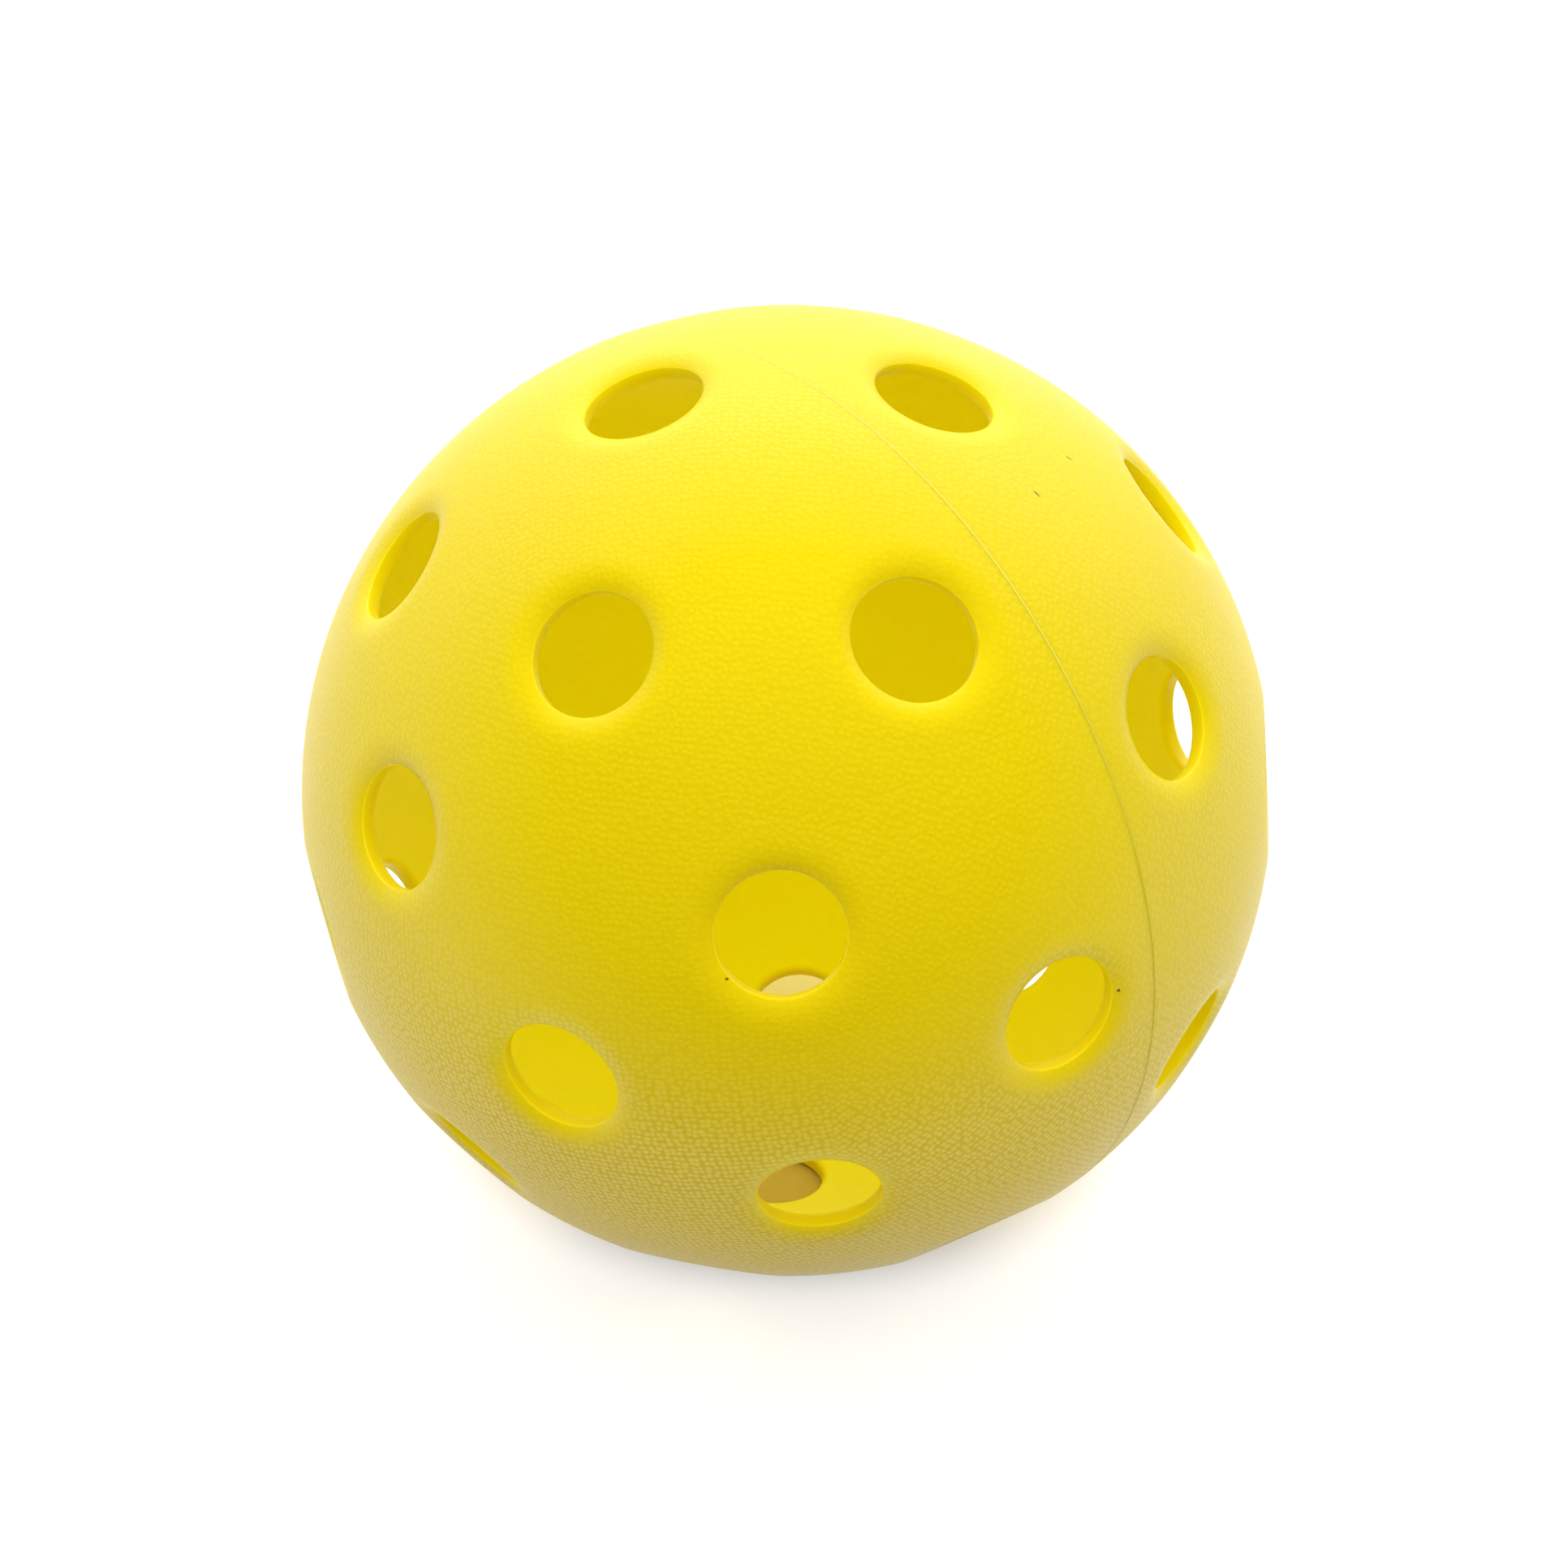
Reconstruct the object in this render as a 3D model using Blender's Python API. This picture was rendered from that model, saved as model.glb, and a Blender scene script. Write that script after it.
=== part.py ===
"""A perforated plastic ball: two moulded half shells with a stepped joint, and the weld bead between them.

Each half is modelled with its pole along +Z and its rim in the XY plane. Both halves share one hole pattern.
An empty at the ball's centre then lays the whole ball down on one hole of the ring beside the weld.
"""

import math

import bmesh
import bpy
from mathutils import Vector
from mathutils.geometry import delaunay_2d_cdt

# Driving dimensions, in metres
BALL_DIAMETER = 0.0740
WALL = 0.0017
HOLE_DIAMETER = 0.0085
RIM_WIDTH = 0.0026
RIM_DEPTH = 0.00058
INNER_ROUND = 0.0005
LIP_HEIGHT = 0.0010
LIP_THICKNESS = 0.00065
BEAD_WIDTH = 0.0005
BEAD_PROUD = 0.00008
GAP = 0.0003

# Hole pattern of one half, in degrees from its pole and around it
RING_COLATITUDES = (23.0, 51.5, 77.9)
RING_COUNTS = (4, 8, 8)
RING_STARTS = (45.0, 22.5, 0.0)

# How the right half is turned against the left one, and which outer hole the ball lies on, in degrees
RIGHT_HALF_TURN = 69.0
RESTING_HOLE_AZIMUTH = 225.0

# Mesh fineness
HOLE_SIDES = 20
RIM_STEPS = 3
ROUND_STEPS = 2
SEAM_SIDES = 80
CROWN_STEPS = 4
SKIN_SPACING = 0.0049
SHARP_ANGLE = 40.0

# Radii that follow from the driving dimensions
OUTER = BALL_DIAMETER / 2
INNER = OUTER - WALL
BORE = HOLE_DIAMETER / 2
LIP_RADIUS = INNER + LIP_THICKNESS
REBATE_RADIUS = LIP_RADIUS + GAP
RIM_FACE = BEAD_WIDTH / 2 + GAP
REBATE_FLOOR = LIP_HEIGHT + GAP

GOLDEN_ANGLE = math.pi * (3 - math.sqrt(5))
PLASTIC_YELLOW = (0.89, 0.67, 0.012, 1.0)
WELD_YELLOW = (0.92, 0.75, 0.06, 1.0)


def clear_scene():
    for obj in list(bpy.data.objects):
        bpy.data.objects.remove(obj, do_unlink=True)


def plastic(name, colour, roughness):
    material = bpy.data.materials.new(name)
    material.use_nodes = True
    shader = material.node_tree.nodes["Principled BSDF"]
    shader.inputs["Base Color"].default_value = colour
    shader.inputs["Roughness"].default_value = roughness
    shader.inputs["Metallic"].default_value = 0.0
    material.diffuse_color = colour
    return material


def height_on(radius, distance):
    """Height of a sphere of this radius at a distance from the axis, or the other way round."""
    return math.sqrt(radius**2 - distance**2)


def turned(distance, turn, height):
    """The point at a distance from the Z axis, at a turn about it and a height along it."""
    return Vector((distance * math.cos(turn), distance * math.sin(turn), height))


def hole_axes():
    """Unit directions of a half's holes, ring by ring from the pole."""
    axes = []
    for colatitude, count, start in zip(RING_COLATITUDES, RING_COUNTS, RING_STARTS):
        tilt = math.radians(colatitude)
        for k in range(count):
            turn = math.radians(start + 360 / count * k)
            axes.append(turned(math.sin(tilt), turn, math.cos(tilt)))
    return axes


def rim_width():
    """Width of the sunken rim, limited by the room between the outer holes and the weld."""
    beside_weld = math.radians(90 - RING_COLATITUDES[-1]) - math.asin((RIM_FACE + GAP) / OUTER)
    return min(RIM_WIDTH, OUTER * math.sin(beside_weld) - BORE)


def rim_section():
    """Half section of a hole, from the outer skin to the inner one: distance from the axis, height along it.

    The skin leaves the sphere along its tangent and sinks ever more steeply, as a cubic, to a crisp edge.
    The bore runs straight from there to a small round on the inside.
    """
    width = rim_width()
    depth = RIM_DEPTH * width / RIM_WIDTH
    section = []
    for k in range(RIM_STEPS + 1):
        distance = BORE + width * (1 - k / RIM_STEPS)
        section.append(Vector((distance, height_on(OUTER, distance) - depth * (k / RIM_STEPS) ** 3)))
    inner_round = min(INNER_ROUND, WALL / 3)
    floor = height_on(INNER, BORE + inner_round)
    for k in range(ROUND_STEPS + 1):
        swing = math.pi / 2 * k / ROUND_STEPS
        rise = Vector((1 - math.cos(swing), 1 - math.sin(swing)))
        section.append(Vector((BORE, floor)) + inner_round * rise)
    return section


def ring_of_verts(bm, distance, height, sides, axis=Vector((0, 0, 1))):
    """A round loop of vertices about an axis through the ball's centre."""
    to_axis = axis.to_track_quat("Z", "Y")
    points = [turned(distance, 2 * math.pi * k / sides, height) for k in range(sides)]
    return [bm.verts.new(to_axis @ point) for point in points]


def bridge(bm, first, second):
    """A band of quads between two loops of equal length."""
    for k in range(len(first)):
        following = (k + 1) % len(first)
        bm.faces.new((first[k], first[following], second[following], second[k]))


def loft(bm, loops, closed=False):
    for first, second in zip(loops, loops[1:]):
        bridge(bm, first, second)
    if closed:
        bridge(bm, loops[-1], loops[0])


def skin_points(radius, edge_height, axes, mouth):
    """Points spread evenly over a half's skin, on a spiral from the pole, clear of the holes and the edge."""
    count = round(4 * math.pi * radius**2 / SKIN_SPACING**2)
    clearance = SKIN_SPACING / 2
    points = []
    for k in range(count):
        height = 1 - (2 * k + 1) / count
        if height * radius < edge_height + clearance:
            break
        point = radius * turned(height_on(1, height), k * GOLDEN_ANGLE, height)
        if all(point.cross(axis).length > mouth + clearance or point.dot(axis) < 0 for axis in axes):
            points.append(point)
    return points


def fill_skin(bm, radius, hole_loops, edge_loop, points):
    """Triangulates a sphere's skin between the hole loops and the edge loop.

    Cast from the far pole onto a plane, circles stay circles, so a flat Delaunay mesh suits the sphere.
    """
    verts, edges, owner = [], [], []
    for number, loop in enumerate([edge_loop] + hole_loops):
        first = len(verts)
        edges += [(first + k, first + (k + 1) % len(loop)) for k in range(len(loop))]
        owner += [number] * len(loop)
        verts += loop
    for point in points:
        owner.append(0)
        verts.append(bm.verts.new(point))
    flat = [Vector((v.co.x, v.co.y)) / (radius + v.co.z) for v in verts]
    faces, sources = delaunay_2d_cdt(flat, edges, [], 0, 1e-9)[2:4]
    for face in faces:
        corners = [sources[k][0] for k in face]
        holes = {owner[k] for k in corners}
        if len(holes) == 1 and 0 not in holes:
            continue
        bm.faces.new([verts[k] for k in corners])


def finish_object(name, bm, material, parent):
    bmesh.ops.recalc_face_normals(bm, faces=bm.faces)
    mesh = bpy.data.meshes.new(name)
    bm.to_mesh(mesh)
    bm.free()
    mesh.shade_smooth()
    mesh.set_sharp_from_angle(angle=math.radians(SHARP_ANGLE))
    mesh.materials.append(material)
    obj = bpy.data.objects.new(name, mesh)
    bpy.context.collection.objects.link(obj)
    obj.parent = parent
    return obj


def half_shell(name, joint, material, parent):
    """One half: outer skin, sunken hole rims, inner skin, and the joint section turned round the rim.

    The joint is a list of (radius, height) corners from the outer skin's edge to the inner skin's edge.
    """
    bm = bmesh.new()
    axes = hole_axes()
    section = rim_section()
    rims = [[ring_of_verts(bm, s, h, HOLE_SIDES, axis) for s, h in section] for axis in axes]
    for rim in rims:
        loft(bm, rim)
    steps = [ring_of_verts(bm, radius, height, SEAM_SIDES) for radius, height in joint]
    loft(bm, steps)
    for radius, place in ((OUTER, 0), (INNER, -1)):
        points = skin_points(radius, joint[place][1], axes, section[place].x)
        fill_skin(bm, radius, [rim[place] for rim in rims], steps[place], points)
    return finish_object(name, bm, material, parent)


def lip_joint():
    """Rim with a lip along the inside, which reaches past the weld into the other half."""
    return (
        (height_on(OUTER, RIM_FACE), RIM_FACE),
        (LIP_RADIUS, RIM_FACE),
        (LIP_RADIUS, -LIP_HEIGHT),
        (height_on(INNER, LIP_HEIGHT), -LIP_HEIGHT),
    )


def rebate_joint():
    """Rim cut back along the inside, so that it takes the other half's lip with a gap all round."""
    return (
        (height_on(OUTER, RIM_FACE), RIM_FACE),
        (REBATE_RADIUS, RIM_FACE),
        (REBATE_RADIUS, REBATE_FLOOR),
        (height_on(INNER, REBATE_FLOOR), REBATE_FLOOR),
    )


def weld_bead(name, material, parent):
    """The ring of melt between the two rim faces, carried on the lip, with a low round crown outside."""
    bm = bmesh.new()
    side = BEAD_WIDTH / 2
    section = [(REBATE_RADIUS, side), (REBATE_RADIUS, -side)]
    for k in range(CROWN_STEPS + 1):
        across = 2 * k / CROWN_STEPS - 1
        crown = BEAD_PROUD * (1 - 2 * across**2)
        section.append((OUTER + crown, side * across))
    loft(bm, [ring_of_verts(bm, radius, height, SEAM_SIDES) for radius, height in section], closed=True)
    return finish_object(name, bm, material, parent)


def main():
    clear_scene()
    ball = bpy.data.objects.new("ball", None)
    bpy.context.collection.objects.link(ball)
    ball.rotation_euler.y = math.radians(RING_COLATITUDES[-1] - 180)
    left_turn = math.radians(180 - RESTING_HOLE_AZIMUTH)

    left_yellow = plastic("left_yellow", PLASTIC_YELLOW, 0.5)
    left = half_shell("left_half_shell", lip_joint(), left_yellow, ball)
    left.rotation_euler.z = left_turn
    right_yellow = plastic("right_yellow", PLASTIC_YELLOW, 0.5)
    right = half_shell("right_half_shell", rebate_joint(), right_yellow, ball)
    right.rotation_euler = (math.pi, 0, left_turn + math.radians(RIGHT_HALF_TURN))
    weld_bead("weld_bead", plastic("weld_yellow", WELD_YELLOW, 0.4), ball)


main()
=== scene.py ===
"""Looks of a perforated plastic ball: two moulded half shells, the weld seam between them, and a stage."""

import math

import bmesh
import bpy
from bpy.props import FloatProperty, FloatVectorProperty, IntProperty, PointerProperty
from mathutils import Euler, Matrix, Vector
from mathutils.geometry import delaunay_2d_cdt


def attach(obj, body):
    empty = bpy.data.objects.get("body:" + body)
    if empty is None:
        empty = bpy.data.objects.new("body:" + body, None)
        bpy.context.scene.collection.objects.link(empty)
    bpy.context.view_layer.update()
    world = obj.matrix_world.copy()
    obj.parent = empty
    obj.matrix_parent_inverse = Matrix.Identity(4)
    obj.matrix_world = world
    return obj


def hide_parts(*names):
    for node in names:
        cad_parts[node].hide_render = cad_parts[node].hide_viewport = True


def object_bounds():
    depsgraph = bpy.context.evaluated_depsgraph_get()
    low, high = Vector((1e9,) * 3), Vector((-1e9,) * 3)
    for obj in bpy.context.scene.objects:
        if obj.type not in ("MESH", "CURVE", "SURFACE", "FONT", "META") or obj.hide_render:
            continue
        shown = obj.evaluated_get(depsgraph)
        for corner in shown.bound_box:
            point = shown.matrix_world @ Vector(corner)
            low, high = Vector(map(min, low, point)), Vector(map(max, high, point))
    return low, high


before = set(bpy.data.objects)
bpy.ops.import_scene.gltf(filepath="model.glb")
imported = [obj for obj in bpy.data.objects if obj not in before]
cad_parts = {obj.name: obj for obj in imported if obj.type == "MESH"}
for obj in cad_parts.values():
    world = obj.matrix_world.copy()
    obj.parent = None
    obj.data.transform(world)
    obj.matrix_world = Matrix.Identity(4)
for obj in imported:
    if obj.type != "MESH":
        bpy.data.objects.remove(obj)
CAD_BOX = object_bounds()

bl_info = {
    "name": "Perforated Ball",
    "version": (1, 0, 0),
    "blender": (4, 5, 0),
    "location": "3D View > Sidebar > Ball",
    "description": "Builds a moulded plastic ball with round holes, in two welded halves",
    "category": "Add Mesh",
}

# Hole pattern of one half, in degrees from its pole and around it
RING_COLATITUDES = (23.0, 51.5, 77.9)
RING_COUNTS = (4, 8, 8)
RING_STARTS = (45.0, 22.5, 0.0)

# How the halves are turned about the weld's axis, and which outer hole the ball lies on, in degrees
RESTING_HOLE_AZIMUTH = 225.0
RIGHT_HALF_TURN = 69.0

# Mesh: how the rims' loops crowd toward the lip, the steps along a hole's small rounds, the angle from which
# an edge is crisp, the turn between neighbours on the skin's spiral, and the gap that counts as none
RIM_CROWDING = 1.5
ROUND_STEPS = (0.25, 0.5, 0.75, 1)
SHARP_ANGLE = math.radians(40.0)
GOLDEN_ANGLE = math.pi * (3 - math.sqrt(5))
NO_GAP = 1e-9

# Joint, in metres: the clearance round the lip, and how deep the seam's sides and how low its edges lie under
# the skin. The seam spreads a little over both skins, and its flank rises over a share of its half width.
JOINT_GAP = 0.00002
SEAM_DEPTH = 0.0002
SEAM_EDGE_DROP = 0.000004
SEAM_SPREAD = 1.05
SEAM_FLANK = 0.5
SEAM_STEPS = 16

# Light through the plastic evens out the holes, so they are painted paler, the more so where they face down.
# These are the shares of the inside's colour on a hole's wall, lip and rim, and of the grain left at the lip.
# A rim takes all of its share where the hole's axis drops by RIM_TINT_DROP, and none where it is level.
BORE_TINT = 0.3
BORE_SHADING = 2.2
LIP_TINT = 0.3
RIM_TINT = 0.3
RIM_TINT_DROP = 0.25
LIP_GRAIN = 0.65

# Grain: the turn of its rows, the angle from the pole at which the flat map gives way to the band, and the
# share of the band's height where the spacing is true. Then, in cells, the scale and reach of its drift, and
# how far a pip's flat top and its foot lie from its middle.
GRAIN_TURN = math.radians(45.0)
CAP_EDGE = math.radians(52.0)
BAND_FIT = 0.6
DRIFT_SCALE = 0.35
DRIFT_REACH = 0.9
PIP_TOP = 0.08
PIP_FOOT = 0.58

# Fine roughness over the pips and slow clouds in the plastic: their scales per metre, and what they change.
# The details are the layers of ever finer noise in the grain, and in the clouds and the melt.
GRAIN_DETAIL = 2.0
FLOW_DETAIL = 3.0
FINE_SCALE = 7000.0
FINE_HEIGHT = 0.65
CLOUD_SCALE = 60.0
CLOUD_SPAN = (0.3, 0.7)
CLOUD_SHADE = 0.96
ROUGHNESS_SWING = 0.04

# How far up the skin faces where the underside's plain grain, with the painted shade in its pits, begins to
# fade and where it has faded; how far the pips stand out on top of the ball, by that painted shade and by
# their gloss;
# and how much glossier than even skin a pip is where it does so in full
UNDERSIDE_SPAN = (-0.40, 0.05)
TOP_CONTRAST = 0.2
PIP_GLOSS = 2.1

# Specular level of the skin against its slant to the view, as shares of the full slant shine
SLANT_GLOSS = ((0.13, 0.0), (0.38, 1.0), (0.65, 0.6), (0.95, 0.28))

# Melt: the scale of its flow per metre, and in metres how far the flow moves the change from painted shade to
# painted light and the heights between which that change lies
MELT_SCALE = 400.0
MELT_STRAY = 0.008
MELT_SPAN = (0.010, 0.028)

# Small moulding flaws of each half: turn about the pole and angle from it, slant of the mark, all in degrees,
# then its length and width in metres
LEFT_FLAWS = ((-25.7, 44.9, 60.0, 0.00040, 0.00026), (-45.3, 85.2, 0.0, 0.00034, 0.00030))
RIGHT_FLAWS = ((59.3, 70.0, 35.0, 0.00065, 0.00015), (62.1, 79.2, 9.0, 0.00075, 0.00015))
FLAW_DEPTH = 0.0016
FLAW_CORE = 0.6

# Floor: its size, its roughness, and the distances from the middle of the shaded patch between which the
# painted yellow light under the ball fades out and the lift to white fades in, in metres
FLOOR_RADIUS = 4.0
FLOOR_SIDES = 128
FLOOR_ROUGHNESS = 0.9
GLOW_SPAN = (0.018, 0.032)
LIFT_SPAN = (0.020, 0.034)

# Light: the cosine from the dome's brightest spot at which it begins to brighten, the rear light's height and
# reach, and how often light may bounce between the ball's walls
DOME_START = 0.2
REAR_HEIGHT = math.radians(20.0)
REAR_REACH = math.radians(50.0)
ALL_BOUNCES = 32
DIFFUSE_BOUNCES = 24

# Camera's sensor in millimetres, and the nearest distance that it sees in metres
SENSOR_WIDTH = 36.0
NEAREST_SEEN = 0.01

WHITE = (1, 1, 1, 1)


class ShellSizes(bpy.types.PropertyGroup):
    """Sizes of the two moulded halves and their holes."""

    diameter: FloatProperty(
        name="Ball diameter", description="Across the outside of the shell", default=0.0740, unit="LENGTH"
    )
    wall: FloatProperty(name="Wall", description="Thickness of the shell", default=0.0017, unit="LENGTH")
    bore: FloatProperty(
        name="Hole", description="Diameter of each hole's bore", default=0.0085, unit="LENGTH"
    )
    rim_width: FloatProperty(
        name="Rim width", description="How far the sunken rim reaches out from the bore",
        default=0.0026, unit="LENGTH",
    )
    rim_depth: FloatProperty(
        name="Rim depth", description="How far the skin has sunk where it meets the bore",
        default=0.00058, unit="LENGTH",
    )
    lip_round: FloatProperty(
        name="Lip round", description="Radius of the fine round between rim and bore",
        default=0.00015, unit="LENGTH",
    )
    inner_edge: FloatProperty(
        name="Inner edge", description="Size of the small round inside each hole",
        default=0.0005, unit="LENGTH",
    )
    lip_height: FloatProperty(
        name="Lip height", description="How far the left half's lip reaches past the weld",
        default=0.0010, unit="LENGTH",
    )
    lip_thickness: FloatProperty(
        name="Lip thickness", description="Thickness of the lip under the weld",
        default=0.00065, unit="LENGTH",
    )
    hole_sides: IntProperty(
        name="Hole sides", description="Vertices round each hole", default=72, min=12
    )
    rim_steps: IntProperty(
        name="Rim steps", description="Loops along each sunken rim", default=12, min=3
    )
    skin_spacing: FloatProperty(
        name="Skin spacing", description="Distance between the vertices of the skins",
        default=0.0011, unit="LENGTH",
    )


class SeamSizes(bpy.types.PropertyGroup):
    """Sizes of the line of melt between the halves."""

    width: FloatProperty(name="Width", description="Across the bead", default=0.00010, unit="LENGTH")
    proud: FloatProperty(
        name="Proud", description="How far the bead stands out of the skin", default=0.00003, unit="LENGTH"
    )
    sides: IntProperty(name="Sides", description="Vertices round the seam", default=360, min=48)


class PlasticFinish(bpy.types.PropertyGroup):
    """Colours and grain of the moulded plastic."""

    skin: FloatVectorProperty(
        name="Skin", description="Colour of the grained outside",
        default=(0.735, 0.585, 0.002), subtype="COLOR",
    )
    # Painted shade: the pits are darkened as if in shade, most on the ball's underside where light grazes the
    # skin
    pit_shade: FloatVectorProperty(
        name="Pits", description="Colour down between the grain's pips",
        default=(0.57, 0.435, 0.002), subtype="COLOR",
    )
    # Partly painted light: the plastic's own yellow made paler, standing in for light that shines through the
    # walls
    inside: FloatVectorProperty(
        name="Inside", description="Colour of the smooth inside",
        default=(0.99, 0.935, 0.002), subtype="COLOR",
    )
    # Painted light: the seam's paler colour along its top, where light falls on it
    melt: FloatVectorProperty(
        name="Melt", description="Colour of the weld seam's clear upper stretch",
        default=(0.80, 0.67, 0.11), subtype="COLOR",
    )
    # Painted shade: the seam's darker colour along its lower stretch
    melt_shade: FloatVectorProperty(
        name="Burr", description="Colour of the weld seam's darker lower stretch",
        default=(0.62, 0.475, 0.004), subtype="COLOR",
    )
    stain: FloatVectorProperty(
        name="Stain", description="Colour of the small flaws", default=(0.08, 0.05, 0.004), subtype="COLOR"
    )
    scatter: FloatProperty(
        name="Scatter", description="Share of the light that wanders through the plastic",
        default=0.6, min=0, max=1, subtype="FACTOR",
    )
    reach: FloatVectorProperty(
        name="Scatter reach", description="How far red, green and blue light wander through the plastic",
        default=(0.0008, 0.0007, 0.00004), unit="LENGTH",
    )
    roughness: FloatProperty(
        name="Roughness", description="Roughness of the skin", default=0.32, min=0, max=1, subtype="FACTOR"
    )
    shine: FloatProperty(
        name="Shine", description="Specular level seen straight on",
        default=0.02, min=0, max=1, subtype="FACTOR",
    )
    slant_shine: FloatProperty(
        name="Slant shine", description="Specular level that the grained skin gains at a slant",
        default=0.28, min=0, max=1, subtype="FACTOR",
    )
    lip_shine: FloatProperty(
        name="Lip shine", description="Specular level that the holes' fine lips gain",
        default=0.10, min=0, max=1, subtype="FACTOR",
    )
    disorder: FloatProperty(
        name="Grain disorder", description="How far the pips stray from their rows",
        default=0.65, min=0, max=1, subtype="FACTOR",
    )
    under_disorder: FloatProperty(
        name="Underside disorder", description="How far the pips stray on the ball's underside",
        default=0.35, min=0, max=1, subtype="FACTOR",
    )
    cell: FloatProperty(
        name="Grain size", description="Distance between the pips of the grain",
        default=0.00048, unit="LENGTH",
    )
    relief: FloatProperty(
        name="Grain relief", description="Height of the pips", default=0.000027, unit="LENGTH"
    )


class StageLook(bpy.types.PropertyGroup):
    """Light, floor and camera."""

    floor: FloatVectorProperty(
        name="Floor", description="Colour of the floor", default=(0.40, 0.365, 0.30), subtype="COLOR"
    )
    glow: FloatVectorProperty(
        name="Glow", description="Colour of the floor where yellow light falls through the ball",
        default=(0.62, 0.50, 0.13), subtype="COLOR",
    )
    shade: FloatVectorProperty(
        name="Shade", description="Middle of the floor's shaded patch",
        size=2, default=(0.012, 0.012), unit="LENGTH",
    )
    backdrop: FloatProperty(
        name="Backdrop", description="How much the floor is lifted to white away from the ball", default=0.75
    )
    zenith: FloatProperty(
        name="Overhead light", description="Brightness of the dome overhead", default=2.5
    )
    horizon: FloatProperty(
        name="Side light", description="Brightness of the dome at the horizon", default=0.16
    )
    rear: FloatProperty(
        name="Rear light", description="Brightness of the soft light behind the ball, which fills its inside",
        default=3.1,
    )
    lean: FloatProperty(
        name="Light's lean",
        description="How far the dome's brightest spot leans from overhead to the camera",
        default=math.radians(12.0), subtype="ANGLE",
    )
    distance: FloatProperty(
        name="Camera distance", description="From the ball's centre", default=0.1850, unit="LENGTH"
    )
    azimuth: FloatProperty(
        name="Azimuth", description="Turn of the camera about the ball",
        default=math.radians(-42.82), subtype="ANGLE",
    )
    elevation: FloatProperty(
        name="Elevation", description="Height of the camera over the horizon",
        default=math.radians(23.97), subtype="ANGLE",
    )
    roll: FloatProperty(
        name="Roll", description="Turn of the camera about its own axis",
        default=math.radians(2.31), subtype="ANGLE",
    )
    lens: FloatProperty(name="Lens", description="Focal length in millimetres", default=54.63)
    shift: FloatVectorProperty(name="Shift", description="Lens shift", size=2, default=(-0.0021, 0.0041))


def height_on(radius, distance):
    """Height of a sphere of this radius at a distance from the axis, or the other way round."""
    return math.sqrt(radius**2 - distance**2)


def turned(distance, turn, height):
    """The point at a distance from the Z axis, at a turn about it and a height along it."""
    return Vector((distance * math.cos(turn), distance * math.sin(turn), height))


def hole_axes():
    """Unit directions of a half's holes, ring by ring from the pole."""
    axes = []
    for colatitude, count, start in zip(RING_COLATITUDES, RING_COUNTS, RING_STARTS):
        tilt = math.radians(colatitude)
        for k in range(count):
            axes.append(turned(math.sin(tilt), math.radians(start + 360 / count * k), math.cos(tilt)))
    return axes


def rim_section(sizes, tint):
    """Half section of a hole from the outer skin to the inner one.

    The skin sinks as a cubic toward the hole, and a fine round lip then leads into the bore.
    Each entry is distance from the axis, height along it, and shares of grain, inside colour and lip.
    The tint is the share of the inside's paler colour, painted light, that the rim takes on toward the lip.
    """
    outer, inner, bore = sizes.diameter / 2, sizes.diameter / 2 - sizes.wall, sizes.bore / 2
    slope = 3 * sizes.rim_depth / sizes.rim_width - bore / height_on(outer, bore)
    meet = math.atan(slope)
    lip_start = sizes.lip_round * (1 - math.sin(meet))
    section = []
    for k in range(sizes.rim_steps + 1):
        t = k / sizes.rim_steps
        away = lip_start + (sizes.rim_width - lip_start) * (1 - t) ** RIM_CROWDING
        sunk = sizes.rim_depth * (1 - away / sizes.rim_width) ** 3
        grained = LIP_GRAIN + (1 - LIP_GRAIN) * away / sizes.rim_width
        tinted = tint * (1 - away / sizes.rim_width) ** 3
        section.append((bore + away, height_on(outer, bore + away) - sunk, grained, tinted, 0.0))
    lip_top = section[-1][1] - sizes.lip_round * math.cos(meet)
    for t in ROUND_STEPS:
        swing = meet + (math.pi / 2 - meet) * t
        away = sizes.lip_round * (1 - math.sin(swing))
        height = lip_top + sizes.lip_round * math.cos(swing)
        lipped = math.sin(math.pi * t)
        tinted = BORE_TINT * t + LIP_TINT * lipped
        section.append((bore + away, height, LIP_GRAIN * (1 - t), tinted, lipped))
    edge = sizes.inner_edge
    floor = height_on(inner, bore + edge)
    for t in (0, *ROUND_STEPS):
        swing = math.pi / 2 * t
        tinted = BORE_TINT + (1 - BORE_TINT) * t
        height = floor + edge - edge * math.sin(swing)
        section.append((bore + edge - edge * math.cos(swing), height, 0.0, tinted, 0.0))
    return section


def ring_of_verts(bm, distance, height, sides, axis=Vector((0, 0, 1))):
    """A round loop of vertices about an axis through the ball's centre."""
    to_axis = axis.to_track_quat("Z", "Y")
    points = [turned(distance, 2 * math.pi * k / sides, height) for k in range(sides)]
    return [bm.verts.new(to_axis @ point) for point in points]


def bridge(bm, first, second):
    """A band of quads between two loops of equal length."""
    for k in range(len(first)):
        following = (k + 1) % len(first)
        bm.faces.new((first[k], first[following], second[following], second[k]))


def skin_points(radius, edge_height, axes, mouth, spacing):
    """Points spread evenly over a half's skin, on a spiral from the pole, clear of the holes and the edge."""
    count = round(4 * math.pi * radius**2 / spacing**2)
    points = []
    for k in range(count):
        height = 1 - (2 * k + 1) / count
        if height * radius < edge_height + spacing / 2:
            break
        point = radius * turned(height_on(1, height), k * GOLDEN_ANGLE, height)
        if all(point.dot(axis) < 0 or point.cross(axis).length > mouth + spacing / 2 for axis in axes):
            points.append(point)
    return points


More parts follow.
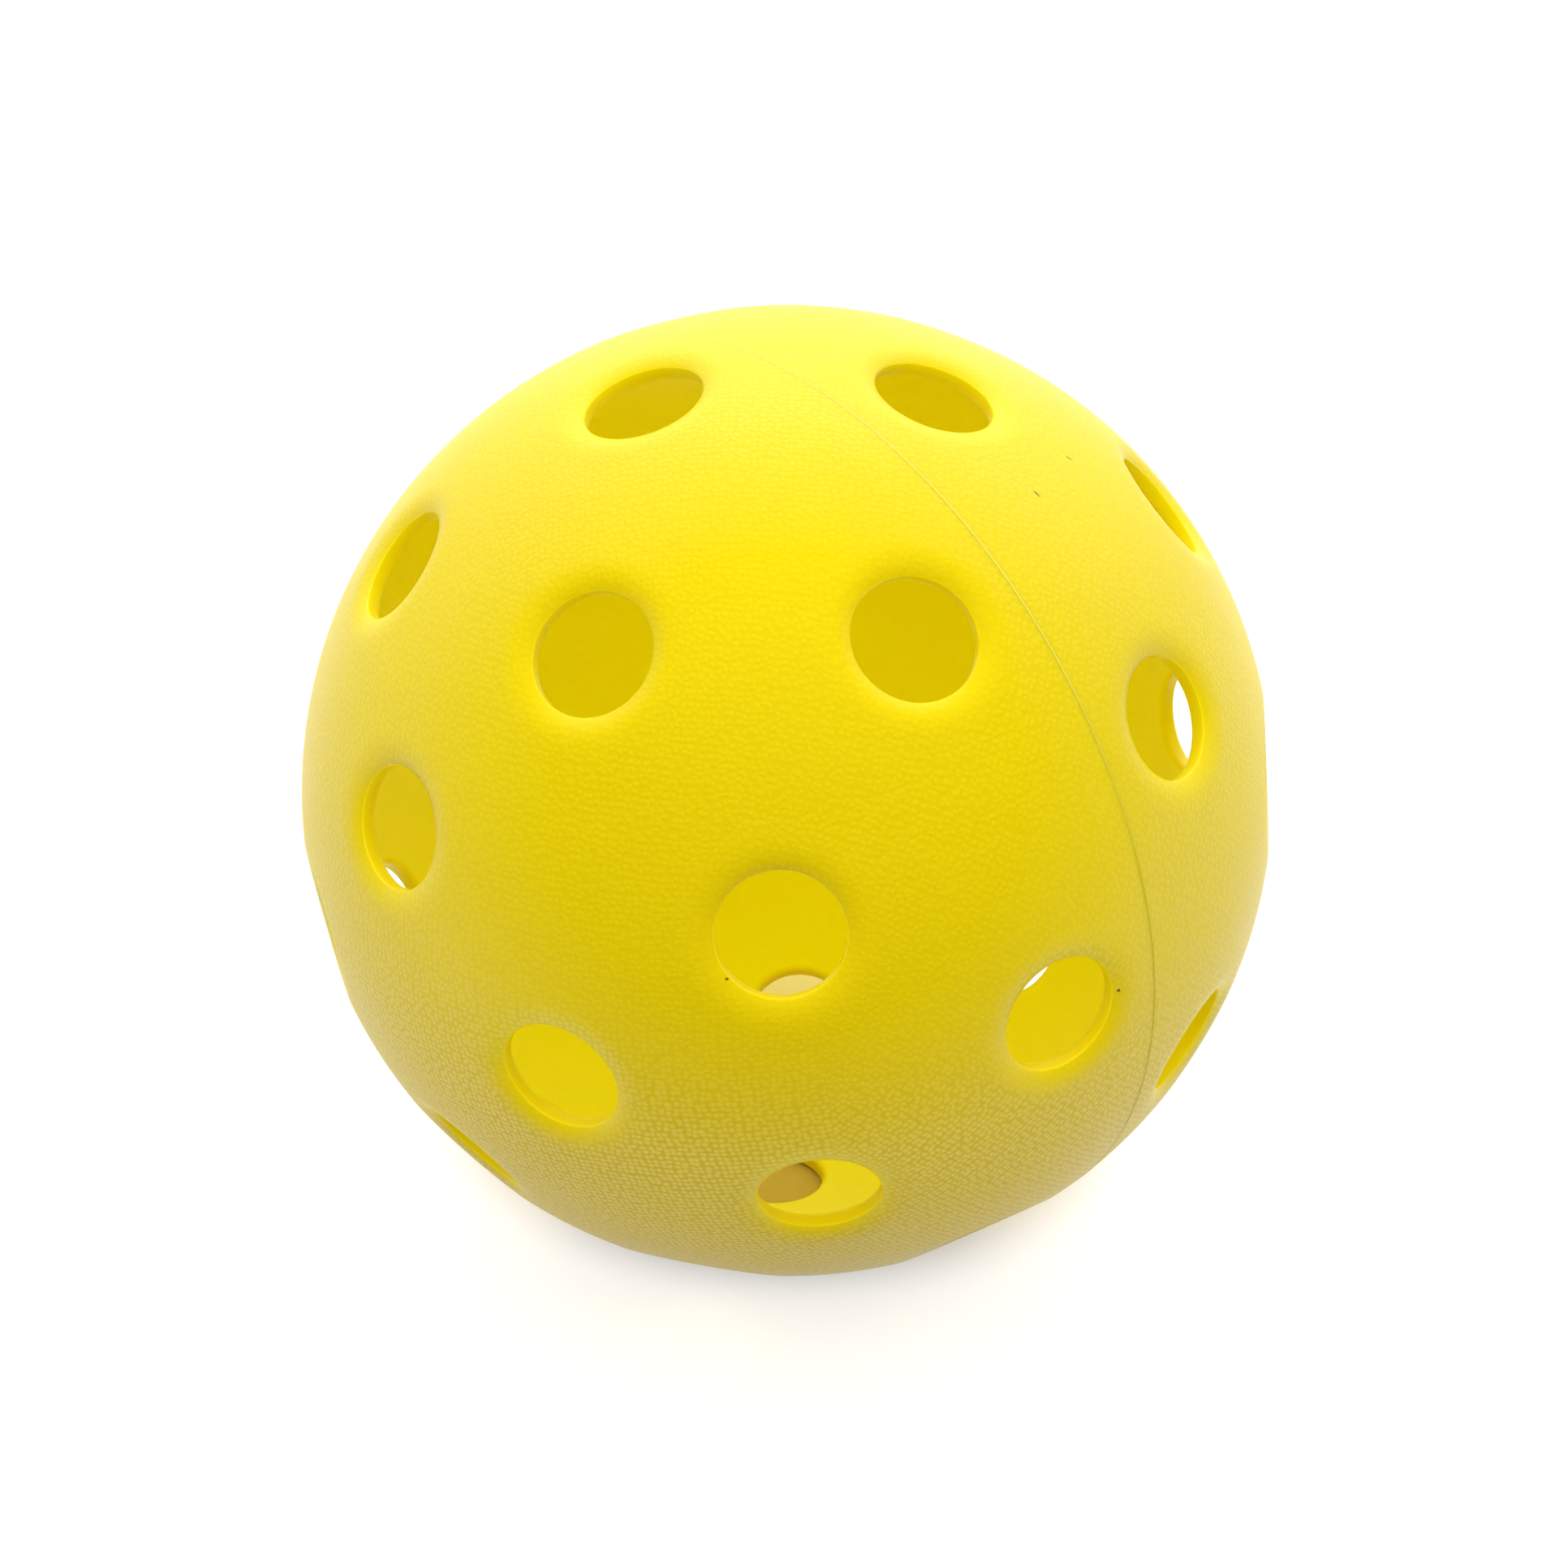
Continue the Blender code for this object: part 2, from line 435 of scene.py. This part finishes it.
def fill_skin(bm, radius, hole_loops, edge_loop, points):
    """Triangulates a sphere's skin between the hole loops and the edge loop.

    Cast from the far pole onto a plane, circles stay circles, so a flat Delaunay mesh suits the sphere.
    """
    verts, edges, owner = [], [], []
    for number, loop in enumerate([edge_loop] + hole_loops):
        first = len(verts)
        edges += [(first + k, first + (k + 1) % len(loop)) for k in range(len(loop))]
        owner += [number] * len(loop)
        verts += loop
    filling = [bm.verts.new(point) for point in points]
    owner += [0] * len(filling)
    verts += filling
    flat = [Vector((v.co.x, v.co.y)) / (radius + v.co.z) for v in verts]
    faces, sources = delaunay_2d_cdt(flat, edges, [], 0, NO_GAP)[2:4]
    for face in faces:
        corners = [sources[k][0] for k in face]
        holes = {owner[k] for k in corners}
        if len(holes) > 1 or 0 in holes:
            bm.faces.new([verts[k] for k in corners])
    return filling


def ball_object(name, bm, place, material, node):
    """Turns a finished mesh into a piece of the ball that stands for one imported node."""
    bmesh.ops.recalc_face_normals(bm, faces=bm.faces)
    mesh = bpy.data.meshes.new(name)
    bm.to_mesh(mesh)
    bm.free()
    mesh.transform(place)
    mesh.shade_smooth()
    mesh.set_sharp_from_angle(angle=SHARP_ANGLE)
    mesh.materials.append(material)
    piece = bpy.data.objects.new(name, mesh)
    bpy.context.scene.collection.objects.link(piece)
    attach(piece, "root")
    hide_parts(node)


def wall_facing(point, axis, place):
    """How far up a hole's wall faces at a point, from -1 straight down to 1 straight up."""
    return (place.to_3x3() @ (axis * point.dot(axis) - point)).normalized().z


def half_shell(name, joint, place, material, node, sizes):
    """One half: outer skin, sunken hole rims, inner skin, and the joint section turned round the rim.

    The joint is a list of (radius, height) corners from the outer skin's edge to the inner skin's edge.
    """
    bm = bmesh.new()
    grain = bm.verts.layers.float.new("grain")
    inside = bm.verts.layers.float.new("inside")
    lip = bm.verts.layers.float.new("lip")
    axes = hole_axes()
    rims = []
    for axis in axes:
        # Painted light: the rims of holes that face down take a share of the paler inside colour
        low = min(1.0, max(0.0, -(place.to_3x3() @ axis).z / RIM_TINT_DROP))
        section = rim_section(sizes, RIM_TINT * low)
        rim = []
        for distance, height, grained, tinted, lipped in section:
            loop = ring_of_verts(bm, distance, height, sizes.hole_sides, axis)
            for vert in loop:
                # Painted light: each wall, lip and rim is paler the further it faces down
                shaded = tinted ** (BORE_SHADING ** wall_facing(vert.co, axis, place))
                vert[grain], vert[inside], vert[lip] = grained, shaded, lipped
            rim.append(loop)
        for first, second in zip(rim, rim[1:]):
            bridge(bm, first, second)
        rims.append(rim)
    sides = bpy.context.scene.ball_seam.sides
    steps = [ring_of_verts(bm, radius, height, sides) for radius, height in joint]
    for first, second in zip(steps, steps[1:]):
        bridge(bm, first, second)
    outer, inner = sizes.diameter / 2, sizes.diameter / 2 - sizes.wall
    for radius, end, grained, tinted in ((outer, 0, 1.0, 0.0), (inner, -1, 0.0, 1.0)):
        points = skin_points(radius, joint[end][1], axes, section[end][0], sizes.skin_spacing)
        filling = fill_skin(bm, radius, [rim[end] for rim in rims], steps[end], points)
        for vert in filling + steps[end]:
            vert[grain], vert[inside] = grained, tinted
    ball_object(name, bm, place, material, node)


def weld_place():
    """Turn of the weld's axis from upright to how the ball lies."""
    return Matrix.Rotation(math.radians(RING_COLATITUDES[-1] - 180), 4, "Y")


def left_place():
    """Turn of the left half from upright to how it lies."""
    return weld_place() @ Matrix.Rotation(math.radians(180 - RESTING_HOLE_AZIMUTH), 4, "Z")


def right_place():
    """Turn of the right half from upright to how it lies, head down against the left one."""
    turn = math.radians(180 - RESTING_HOLE_AZIMUTH + RIGHT_HALF_TURN)
    return weld_place() @ Euler((math.pi, 0, turn)).to_matrix().to_4x4()


def socket_of(sockets, key):
    """A node's socket by place, or by identifier, which tells like-named sockets apart."""
    if isinstance(key, int):
        return sockets[key]
    return next(socket for socket in sockets if key in (socket.identifier, socket.name))


def add_node(tree, kind, inputs=(), **options):
    """Adds a node, sets its options, and feeds its inputs with plain values or with other nodes' outputs."""
    node = tree.nodes.new(kind)
    for key, value in options.items():
        setattr(node, key, value)
    for key, value in dict(inputs).items():
        socket = socket_of(node.inputs, key)
        if isinstance(value, bpy.types.NodeSocket):
            tree.links.new(value, socket)
        else:
            socket.default_value = value
    return node


def calc(tree, operation, *values, clamp=False):
    """Result of a sum on plain values or on other nodes' outputs."""
    inputs = dict(enumerate(values))
    return add_node(tree, "ShaderNodeMath", inputs, operation=operation, use_clamp=clamp).outputs[0]


def measure(tree, operation, *vectors):
    """A number that tells how vectors lie to each other, such as their distance."""
    inputs = dict(enumerate(vectors))
    return add_node(tree, "ShaderNodeVectorMath", inputs, operation=operation).outputs["Value"]


def faded(tree, value, span, first=0.0, last=1.0, smooth=False):
    """A value that goes from first to last over a span of another, and keeps them beyond it."""
    return add_node(
        tree, "ShaderNodeMapRange",
        {"Value": value, "From Min": span[0], "From Max": span[1], "To Min": first, "To Max": last},
        interpolation_type="SMOOTHSTEP" if smooth else "LINEAR",
    ).outputs["Result"]


def noise(tree, place, scale, detail):
    """Outputs of a cloudy noise over the coordinates."""
    return add_node(
        tree, "ShaderNodeTexNoise", {"Vector": place, "Scale": scale, "Detail": detail}
    ).outputs


def painted_share(tree, name):
    """A share that the mesh carries on its vertices."""
    return add_node(tree, "ShaderNodeAttribute", attribute_name=name).outputs["Fac"]


def mixed_colour(tree, factor, first, second):
    """A blend of two colours, each a plain colour or another node's output."""
    mix = add_node(
        tree, "ShaderNodeMix", {"Factor_Float": factor, "A_Color": first, "B_Color": second},
        data_type="RGBA",
    )
    return socket_of(mix.outputs, "Result_Color")


def raise_bump(tree, shader, height, relief):
    """Feeds a shader's normal from a height, with the relief in metres."""
    bump = add_node(tree, "ShaderNodeBump", {"Height": height, "Strength": 1.0, "Distance": relief})
    tree.links.new(bump.outputs["Normal"], shader.inputs["Normal"])


def new_material(name, turn=Matrix()):
    """An empty material with its Principled shader, and coordinates from before the piece's turn."""
    material = bpy.data.materials.new(name)
    material.use_nodes = True
    tree = material.node_tree
    shader = tree.nodes["Principled BSDF"]
    lying = tree.nodes.new("ShaderNodeTexCoord").outputs["Object"]
    place = add_node(
        tree, "ShaderNodeMapping", {"Vector": lying, "Rotation": turn.to_euler()}, vector_type="TEXTURE"
    ).outputs[0]
    return material, tree, shader, place


def rgba(colour):
    return (*colour, 1.0)


def grain_cells(tree, place, finish):
    """Coordinates of the grain, in cells: a band unrolled along the weld, and a flat map round the pole."""
    way = add_node(tree, "ShaderNodeVectorMath", {0: place}, operation="NORMALIZE").outputs[0]
    axes = add_node(tree, "ShaderNodeSeparateXYZ", {0: way}).outputs
    turn = calc(tree, "ARCTAN2", axes["Y"], axes["X"])
    along = calc(tree, "MULTIPLY", turn, math.cos((math.pi / 2 - CAP_EDGE) * BAND_FIT))
    rise = calc(tree, "ARCSINE", axes["Z"])
    band = add_node(tree, "ShaderNodeCombineXYZ", {"X": along, "Y": rise}).outputs[0]

    halved = calc(tree, "DIVIDE", 2.0, calc(tree, "ADD", axes["Z"], 1.0))
    spread = calc(tree, "SQRT", halved)
    cap = add_node(tree, "ShaderNodeVectorMath", {0: way, "Scale": spread}, operation="SCALE").outputs[0]

    on_cap = calc(tree, "GREATER_THAN", axes["Z"], math.cos(CAP_EDGE))
    joined = add_node(
        tree, "ShaderNodeMix", {"Factor_Float": on_cap, "A_Vector": band, "B_Vector": cap},
        data_type="VECTOR",
    )
    cells = bpy.context.scene.ball_shell.diameter / 2 / finish.cell
    laid = add_node(
        tree, "ShaderNodeMapping",
        {"Vector": socket_of(joined.outputs, "Result_Vector"), "Rotation": (0, 0, GRAIN_TURN),
         "Scale": (cells, cells, 0)},
    ).outputs[0]
    drift = noise(tree, laid, DRIFT_SCALE, GRAIN_DETAIL)["Color"]
    return add_node(
        tree, "ShaderNodeVectorMath", {0: drift, 1: (DRIFT_REACH, DRIFT_REACH, 0), 2: laid},
        operation="MULTIPLY_ADD",
    ).outputs[0]


def flaw_mask(tree, place, flaws):
    """One inside the small flaws of a half and zero elsewhere, each a slim ellipsoid in the skin."""
    radius = bpy.context.scene.ball_shell.diameter / 2
    mask = None
    for turn, colatitude, slant, length, width in flaws:
        turns = Euler((0, math.radians(colatitude), math.radians(turn))).to_matrix()
        slanted = turns @ Matrix.Rotation(math.radians(90 + slant), 3, "Z")
        inside = add_node(
            tree, "ShaderNodeMapping",
            {"Vector": place, "Location": turns @ Vector((0, 0, radius)), "Rotation": slanted.to_euler(),
             "Scale": (length / 2, width / 2, FLAW_DEPTH / 2)},
            vector_type="TEXTURE",
        ).outputs[0]
        spot = faded(tree, measure(tree, "LENGTH", inside), (FLAW_CORE, 1.0), 1.0, 0.0)
        mask = calc(tree, "MAXIMUM", mask, spot) if mask else spot
    return mask


def slant_gloss(tree, finish):
    """Specular level that rises as the skin turns from the view and falls again toward its outline."""
    facing = add_node(tree, "ShaderNodeLayerWeight", {"Blend": 0.5}).outputs["Facing"]
    ramp = add_node(tree, "ShaderNodeValToRGB", {"Fac": facing})
    stops = ramp.color_ramp.elements
    while len(stops) < len(SLANT_GLOSS):
        stops.new(1.0)
    for stop, (slant, share) in zip(stops, SLANT_GLOSS):
        level = share * finish.slant_shine
        stop.position, stop.color = slant, (level, level, level, 1.0)
    return ramp.outputs["Color"]


def underside(tree):
    """One on the ball's underside, fading to zero on its upper half."""
    normal = tree.nodes.new("ShaderNodeNewGeometry").outputs["Normal"]
    up = add_node(tree, "ShaderNodeSeparateXYZ", {0: normal}).outputs["Z"]
    return faded(tree, up, UNDERSIDE_SPAN, 1.0, 0.0, smooth=True)


def pip_contrast(tree, under, grain):
    """How far the pips stand out, by the painted shade in their pits and by their gloss: little on top of the
    ball, most on its underside, less at a lip.
    """
    return calc(tree, "MULTIPLY", faded(tree, under, (0.0, 1.0), TOP_CONTRAST, 1.0), grain)


def pip_share(tree, pips, contrast, gain):
    """One all over where the contrast is none, and the pips alone, raised by a gain, where it is full."""
    raised = calc(tree, "MULTIPLY_ADD", pips, gain, -1.0)
    return calc(tree, "MULTIPLY_ADD", raised, contrast, 1.0, clamp=gain == 1.0)


def moulded_plastic(name, turn, finish, flaws):
    """Yellow plastic: rows of fine pips with glossy tops and painted shade in their pits outside, a smooth
    inside painted paler for light through the plastic, and a few small flaws.
    """
    material, tree, shader, place = new_material(name, turn)
    grain, inside, lip = (painted_share(tree, share) for share in ("grain", "inside", "lip"))

    under = underside(tree)
    disorder = faded(tree, under, (0.0, 1.0), finish.disorder, finish.under_disorder)
    away = add_node(
        tree, "ShaderNodeTexVoronoi",
        {"Vector": grain_cells(tree, place, finish), "Scale": 1.0, "Randomness": disorder},
        voronoi_dimensions="2D", feature="F1",
    ).outputs["Distance"]
    crown = faded(tree, away, (PIP_TOP, PIP_FOOT), 1.0, 0.0, smooth=True)
    fine = noise(tree, place, FINE_SCALE, GRAIN_DETAIL)["Fac"]
    rough_crown = calc(tree, "MULTIPLY_ADD", fine, FINE_HEIGHT, crown)
    pips = calc(tree, "MULTIPLY", rough_crown, grain)
    raise_bump(tree, shader, pips, finish.relief)

    contrast = pip_contrast(tree, under, grain)
    # Painted shade: the pits take the darker pit colour, most on the underside and little on top
    outside = mixed_colour(
        tree, pip_share(tree, pips, contrast, 1.0), rgba(finish.pit_shade), rgba(finish.skin)
    )
    # Painted light: the inside, and hole walls, lips and rims by their share, take the paler inside colour
    both = mixed_colour(tree, inside, outside, rgba(finish.inside))
    flow = noise(tree, place, CLOUD_SCALE, FLOW_DETAIL)["Fac"]
    cloud = faded(tree, flow, CLOUD_SPAN, CLOUD_SHADE, 1.0)
    clouded = add_node(tree, "ShaderNodeVectorMath", {0: both, "Scale": cloud}, operation="SCALE").outputs[0]
    flawed = mixed_colour(tree, flaw_mask(tree, place, flaws), clouded, rgba(finish.stain))
    tree.links.new(flawed, shader.inputs["Base Color"])

    smoothest, roughest = finish.roughness - ROUGHNESS_SWING, finish.roughness + ROUGHNESS_SWING
    tree.links.new(faded(tree, flow, CLOUD_SPAN, smoothest, roughest), shader.inputs["Roughness"])

    glossy_pips = pip_share(tree, pips, contrast, PIP_GLOSS)
    skin_gloss = calc(tree, "MULTIPLY_ADD", slant_gloss(tree, finish), glossy_pips, finish.shine)
    gloss = calc(tree, "MULTIPLY_ADD", lip, finish.lip_shine, skin_gloss)
    tree.links.new(gloss, shader.inputs["Specular IOR Level"])
    shader.inputs["Subsurface Weight"].default_value = finish.scatter
    shader.inputs["Subsurface Radius"].default_value = finish.reach
    shader.inputs["Subsurface Scale"].default_value = 1.0
    return material


def melted_plastic(name, finish):
    """Melt that was squeezed out of the weld, with painted light along its top and painted shade along its
    lower stretch.
    """
    material, tree, shader, place = new_material(name, weld_place())
    up = add_node(tree, "ShaderNodeSeparateXYZ", {0: place}).outputs["X"]
    flow = noise(tree, place, MELT_SCALE, FLOW_DETAIL)["Fac"]
    # Painted light and shade: the seam is paler higher up and darker lower down
    clear = faded(tree, calc(tree, "MULTIPLY_ADD", flow, MELT_STRAY, up), MELT_SPAN)
    colour = mixed_colour(tree, clear, rgba(finish.melt_shade), rgba(finish.melt))
    tree.links.new(colour, shader.inputs["Base Color"])
    raise_bump(tree, shader, flow, finish.relief)
    shader.inputs["Roughness"].default_value = finish.roughness
    shader.inputs["Specular IOR Level"].default_value = finish.shine
    return material


def seen_rays(tree):
    """One for rays that show the backdrop, straight or in a reflection, and zero for falling light."""
    rays = tree.nodes.new("ShaderNodeLightPath").outputs
    mirrored = calc(tree, "MAXIMUM", rays["Is Glossy Ray"], rays["Is Transmission Ray"])
    return calc(tree, "MAXIMUM", rays["Is Camera Ray"], mirrored)


def lay_floor(look):
    """A wide round floor under the ball's lowest rim, lifted to white away from the ball's shadow."""
    bm = bmesh.new()
    bmesh.ops.create_circle(bm, cap_ends=True, segments=FLOOR_SIDES, radius=FLOOR_RADIUS)
    mesh = bpy.data.meshes.new("floor")
    bm.to_mesh(mesh)
    bm.free()
    material, tree, shader, place = new_material("floor_white")
    away = measure(tree, "DISTANCE", place, (*look.shade, 0))
    # Painted light: a yellow pool on the floor under the ball, for light that falls through the plastic
    plain = faded(tree, away, GLOW_SPAN, smooth=True)
    colour = mixed_colour(tree, plain, rgba(look.glow), rgba(look.floor))
    tree.links.new(colour, shader.inputs["Base Color"])
    shader.inputs["Roughness"].default_value = FLOOR_ROUGHNESS
    shader.inputs["Specular IOR Level"].default_value = 0.0
    lift = faded(tree, away, LIFT_SPAN, 0.0, look.backdrop, smooth=True)
    shader.inputs["Emission Color"].default_value = WHITE
    tree.links.new(calc(tree, "MULTIPLY", lift, seen_rays(tree)), shader.inputs["Emission Strength"])
    mesh.materials.append(material)
    floor = bpy.data.objects.new("floor", mesh)
    floor.location.z = CAD_BOX[0].z
    bpy.context.scene.collection.objects.link(floor)


def hang_dome(scene, look):
    """A soft dome of light, brightest overhead, with a soft rear light and a plain white backdrop."""
    world = bpy.data.worlds.new("dome")
    world.use_nodes = True
    scene.world = world
    tree = world.node_tree
    way = tree.nodes.new("ShaderNodeTexCoord").outputs["Generated"]
    brightest = turned(math.sin(look.lean), look.azimuth - math.pi / 2, math.cos(look.lean))
    up = measure(tree, "DOT_PRODUCT", way, brightest)
    level = faded(tree, up, (DOME_START, 1.0), look.horizon, look.zenith, smooth=True)
    behind = turned(math.cos(REAR_HEIGHT), look.azimuth + math.pi / 2, math.sin(REAR_HEIGHT))
    toward = measure(tree, "DOT_PRODUCT", way, behind)
    rear = faded(tree, toward, (math.cos(REAR_REACH), 1.0), 0.0, look.rear, smooth=True)
    dome = tree.nodes["Background"]
    dome.inputs["Color"].default_value = WHITE
    tree.links.new(calc(tree, "ADD", level, rear), dome.inputs["Strength"])
    backdrop = add_node(tree, "ShaderNodeBackground", {"Color": WHITE, "Strength": 1.0})
    mixed = add_node(
        tree, "ShaderNodeMixShader",
        {0: seen_rays(tree), 1: dome.outputs["Background"], 2: backdrop.outputs["Background"]},
    )
    tree.links.new(mixed.outputs["Shader"], tree.nodes["World Output"].inputs["Surface"])


def stand_camera(scene, look):
    """The camera at the photograph's angle, looking past the ball's centre by its shift alone."""
    camera = bpy.data.objects.new("camera", bpy.data.cameras.new("camera"))
    camera.data.lens = look.lens
    camera.data.sensor_width = SENSOR_WIDTH
    camera.data.shift_x, camera.data.shift_y = look.shift
    camera.data.clip_start = NEAREST_SEEN
    turn = (
        Matrix.Rotation(look.azimuth, 4, "Z")
        @ Matrix.Rotation(math.pi / 2 - look.elevation, 4, "X")
        @ Matrix.Rotation(look.roll, 4, "Z")
    )
    camera.matrix_world = turn @ Matrix.Translation((0, 0, look.distance))
    scene.collection.objects.link(camera)
    scene.camera = camera


class BALL_OT_half_shells(bpy.types.Operator):
    """Build the two moulded half shells with their holes"""

    bl_idname = "ball.half_shells"
    bl_label = "Half Shells"

    def execute(self, context):
        scene = context.scene
        sizes, finish = scene.ball_shell, scene.ball_finish
        outer, inner = sizes.diameter / 2, sizes.diameter / 2 - sizes.wall
        face = scene.ball_seam.width / 2
        lip = inner + sizes.lip_thickness
        left_joint = (
            (height_on(outer, face), face),
            (lip, face),
            (lip, -sizes.lip_height),
            (height_on(inner, sizes.lip_height), -sizes.lip_height),
        )
        floor = sizes.lip_height + JOINT_GAP
        right_joint = (
            (height_on(outer, face), face),
            (lip + JOINT_GAP, face),
            (lip + JOINT_GAP, floor),
            (height_on(inner, floor), floor),
        )
        left_yellow = moulded_plastic("left_yellow", left_place(), finish, LEFT_FLAWS)
        half_shell("left_shell", left_joint, left_place(), left_yellow, "left_half_shell", sizes)
        right_yellow = moulded_plastic("right_yellow", right_place(), finish, RIGHT_FLAWS)
        half_shell("right_shell", right_joint, right_place(), right_yellow, "right_half_shell", sizes)
        return {"FINISHED"}


class BALL_OT_weld_seam(bpy.types.Operator):
    """Build the fine line of melt between the halves"""

    bl_idname = "ball.weld_seam"
    bl_label = "Weld Seam"

    def execute(self, context):
        scene = context.scene
        sizes, seam = scene.ball_shell, scene.ball_seam
        outer, side = sizes.diameter / 2, seam.width / 2
        root = outer - sizes.wall + sizes.lip_thickness + JOINT_GAP
        section = [(root, side), (root, -side), (outer - SEAM_DEPTH, -side)]
        for k in range(SEAM_STEPS + 1):
            across = 2 * k / SEAM_STEPS - 1
            crown = seam.proud * min(1.0, (1 + across) / SEAM_FLANK) * (1 - across) / 2
            section.append((outer + crown - SEAM_EDGE_DROP * across**8, SEAM_SPREAD * side * across))
        section.append((outer - SEAM_DEPTH, side))
        bm = bmesh.new()
        loops = [ring_of_verts(bm, radius, height, seam.sides) for radius, height in section]
        for first, second in zip(loops, loops[1:] + loops[:1]):
            bridge(bm, first, second)
        weld_yellow = melted_plastic("weld_yellow", scene.ball_finish)
        ball_object("weld_seam", bm, weld_place(), weld_yellow, "weld_bead")
        return {"FINISHED"}


class BALL_OT_stage(bpy.types.Operator):
    """Set up the floor, the light and the camera"""

    bl_idname = "ball.stage"
    bl_label = "Stage"

    def execute(self, context):
        scene = context.scene
        lay_floor(scene.ball_stage)
        hang_dome(scene, scene.ball_stage)
        stand_camera(scene, scene.ball_stage)
        scene.view_settings.view_transform = "Standard"
        scene.cycles.max_bounces = ALL_BOUNCES
        scene.cycles.diffuse_bounces = DIFFUSE_BOUNCES
        return {"FINISHED"}


class BALL_PT_sidebar(bpy.types.Panel):
    """Sidebar with the ball's sizes, finish and stage"""

    bl_idname = "BALL_PT_sidebar"
    bl_label = "Perforated Ball"
    bl_space_type = "VIEW_3D"
    bl_region_type = "UI"
    bl_category = "Ball"

    def draw(self, context):
        scene = context.scene
        for group, operator in (
            (scene.ball_shell, "ball.half_shells"),
            (scene.ball_seam, "ball.weld_seam"),
            (scene.ball_finish, None),
            (scene.ball_stage, "ball.stage"),
        ):
            box = self.layout.box()
            for name in group.__annotations__:
                box.prop(group, name)
            if operator:
                box.operator(operator)


GROUPS = {
    "ball_shell": ShellSizes,
    "ball_seam": SeamSizes,
    "ball_finish": PlasticFinish,
    "ball_stage": StageLook,
}
CLASSES = (*GROUPS.values(), BALL_OT_half_shells, BALL_OT_weld_seam, BALL_OT_stage, BALL_PT_sidebar)


def register():
    for cls in CLASSES:
        bpy.utils.register_class(cls)
    for name, group in GROUPS.items():
        setattr(bpy.types.Scene, name, PointerProperty(type=group))


def unregister():
    for name in GROUPS:
        delattr(bpy.types.Scene, name)
    for cls in reversed(CLASSES):
        bpy.utils.unregister_class(cls)


def main():
    register()
    bpy.ops.ball.half_shells()
    bpy.ops.ball.weld_seam()
    bpy.ops.ball.stage()


if __name__ == "__main__":
    main()
